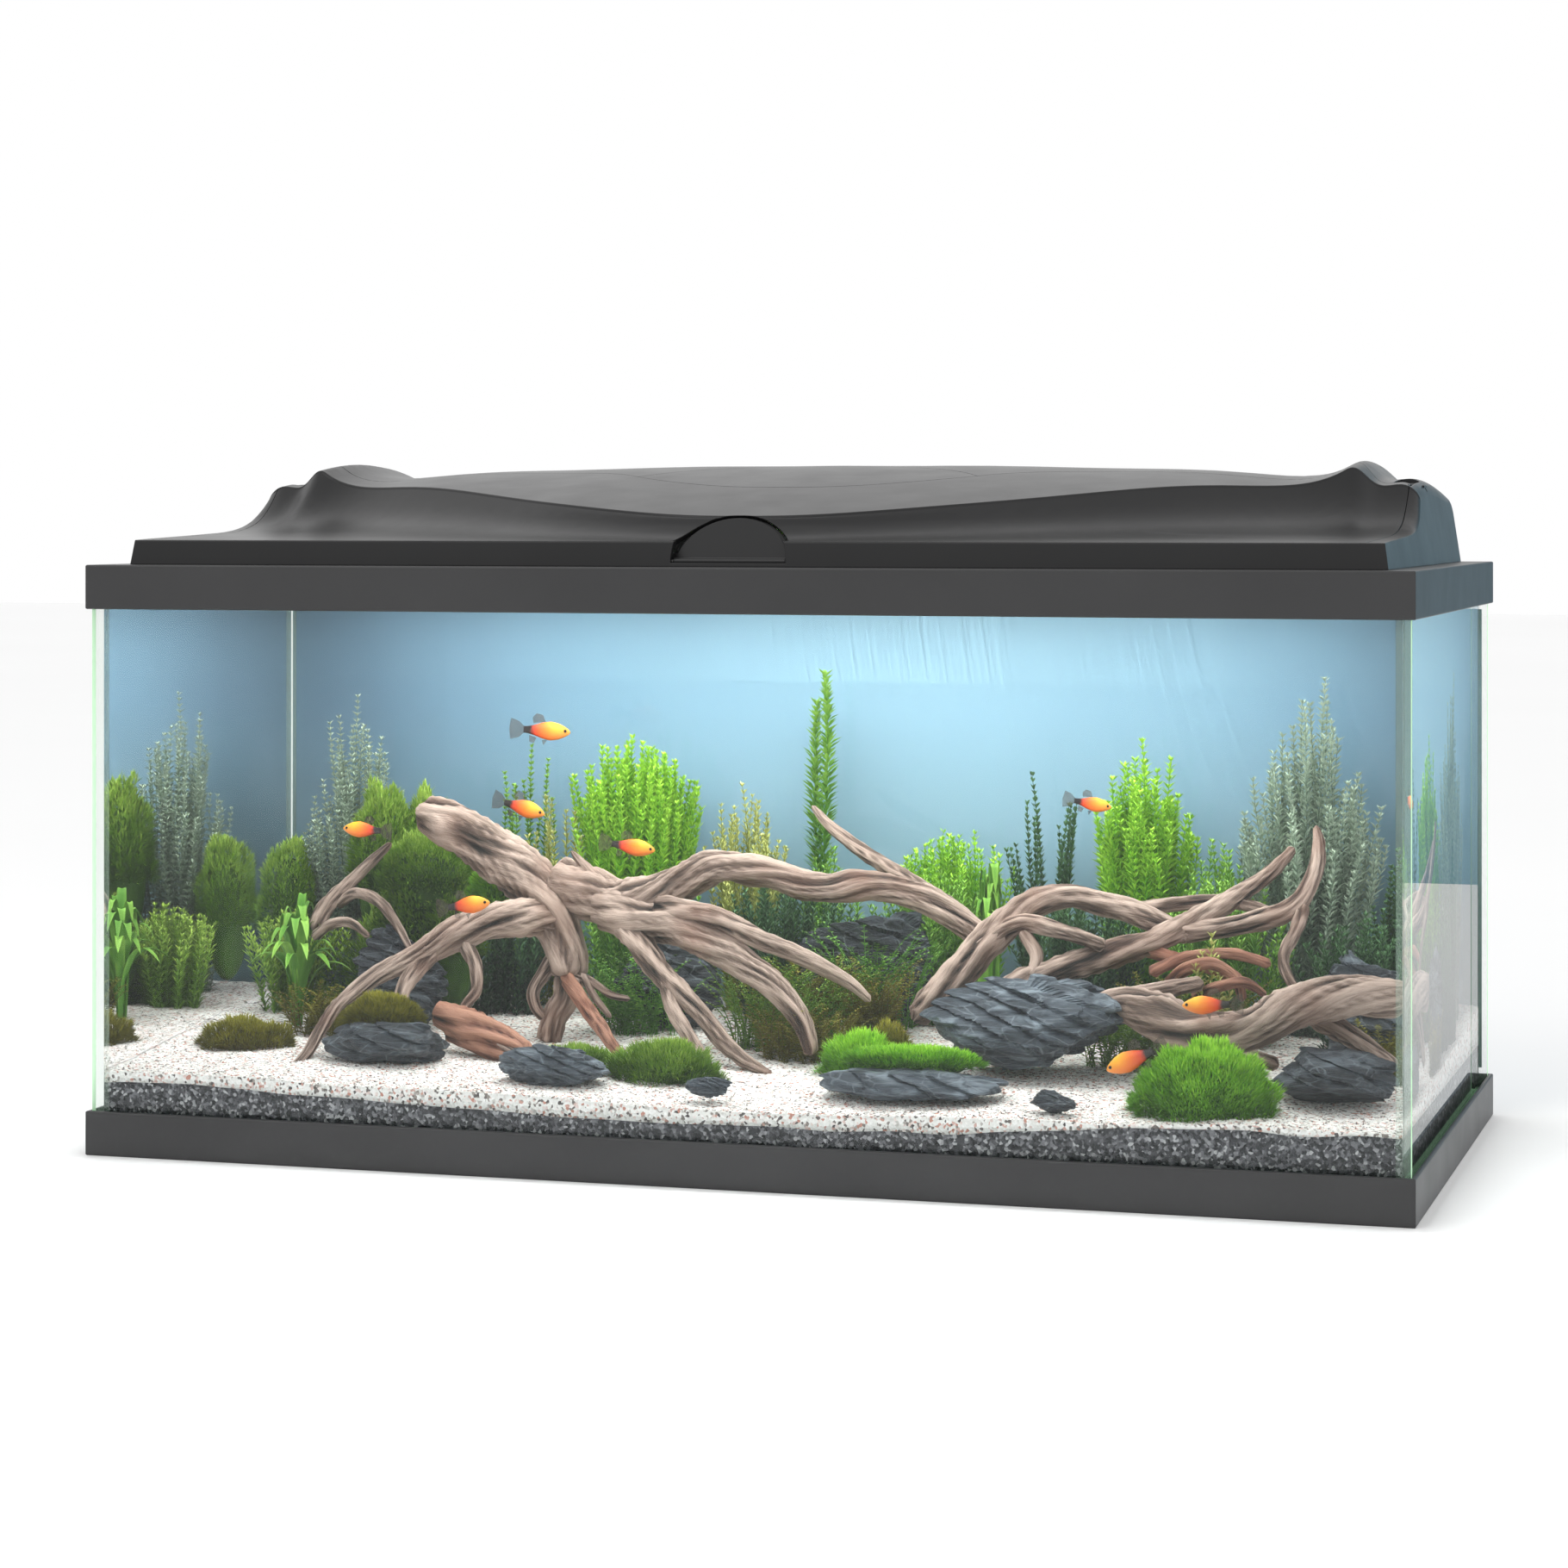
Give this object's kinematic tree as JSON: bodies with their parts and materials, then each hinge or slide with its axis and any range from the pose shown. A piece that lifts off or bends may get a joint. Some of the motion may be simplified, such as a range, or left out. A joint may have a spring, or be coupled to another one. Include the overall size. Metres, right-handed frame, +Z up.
{
  "type": "aquarium with lighting hood",
  "caption": "Rectangular glass aquarium with black plastic base and top frames, a hinged domed hood with a lifting front flap, and a planted rock and driftwood scene.",
  "frame": {"origin": "centre of the underside, on the floor", "axes": "+X towards the right of the front view, +Y to the rear, +Z up"},
  "size_m": [0.806, 0.4, 0.424],
  "materials": {
    "black_plastic": "satin",
    "hood_plastic": "satin",
    "clear_glass": "polished",
    "silicone": "satin",
    "blue_film": "matte",
    "steel": "brushed",
    "aluminium": "satin",
    "lamp_board": "matte",
    "lamp_lens": "frosted",
    "black_rubber": "matte",
    "dark_gravel": "matte",
    "white_sand": "matte",
    "slate_rock": "matte",
    "driftwood": "matte",
    "leaf_green": "satin",
    "moss_green": "matte"
  },
  "bodies": {
    "tank": {"bottom_frame": "black_plastic", "top_frame": "black_plastic", "glass_bottom": "clear_glass", "glass_front": "clear_glass", "glass_back": "clear_glass", "glass_left": "clear_glass", "glass_right": "clear_glass", "corner_silicone": "silicone", "floor_silicone": "silicone", "background_film": "blue_film", "hood_hinge_brackets": "black_plastic", "hood_hinge_pins": "steel", "bracket_screws": "steel", "gravel_dark": "dark_gravel", "sand_white": "white_sand", "rock_round_left": "slate_rock", "rock_pebble_centre": "slate_rock", "rock_flat_front": "slate_rock", "rock_pebble_right": "slate_rock", "rock_layered": "slate_rock", "rock_right": "slate_rock", "rock_left": "slate_rock", "rock_back_left": "slate_rock", "rock_behind_trunk": "slate_rock", "rock_dark_centre": "slate_rock", "rock_back_right": "slate_rock", "driftwood_stump": "driftwood", "driftwood_right": "driftwood", "driftwood_front_right": "driftwood", "plant_pale_tall_left": "leaf_green", "plant_bush_left": "leaf_green", "plant_sword_left": "leaf_green", "plant_thin_stems": "leaf_green", "plant_bright_bush": "leaf_green", "plant_pale_centre": "leaf_green", "plant_spire": "leaf_green", "plant_low_bush": "leaf_green", "plant_sword_right": "leaf_green", "plant_dark_stems": "leaf_green", "plant_feathery": "leaf_green", "plant_grey_tall": "leaf_green", "plant_right_corner": "leaf_green", "plant_ferns_centre": "leaf_green", "moss_front_bush": "moss_green", "moss_carpet_left": "moss_green", "moss_carpet_right": "moss_green"},
    "hood": {"hood_shell": "hood_plastic", "lens_plate": "hood_plastic", "flap_pins": "steel", "feed_door_pin": "steel", "lamp_housing": "aluminium", "lamp_board": "lamp_board", "lamp_lens": "lamp_lens", "lamp_cap_left": "black_plastic", "lamp_cap_right": "black_plastic", "lamp_brackets": "black_plastic", "cable_grommet": "black_rubber"},
    "flap": {"front_flap": "hood_plastic"},
    "feeder": {"feed_door": "hood_plastic"}
  },
  "joints": [
    {"name": "hood_hinge", "type": "hinge", "parent": "tank", "child": "hood", "pos_m": [0, 0.186, 0.368], "axis": [-1, 0, 0], "range_deg": [0, 80]},
    {"name": "flap_hinge", "type": "hinge", "parent": "hood", "child": "flap", "pos_m": [0, 0.056, 0.406], "axis": [-1, 0, 0], "range_deg": [0, 75]},
    {"name": "feed_door_hinge", "type": "hinge", "parent": "hood", "child": "feeder", "pos_m": [0, -0.1704, 0.3631], "axis": [1, 0, 0], "range_deg": [0, 120]}
  ]
}
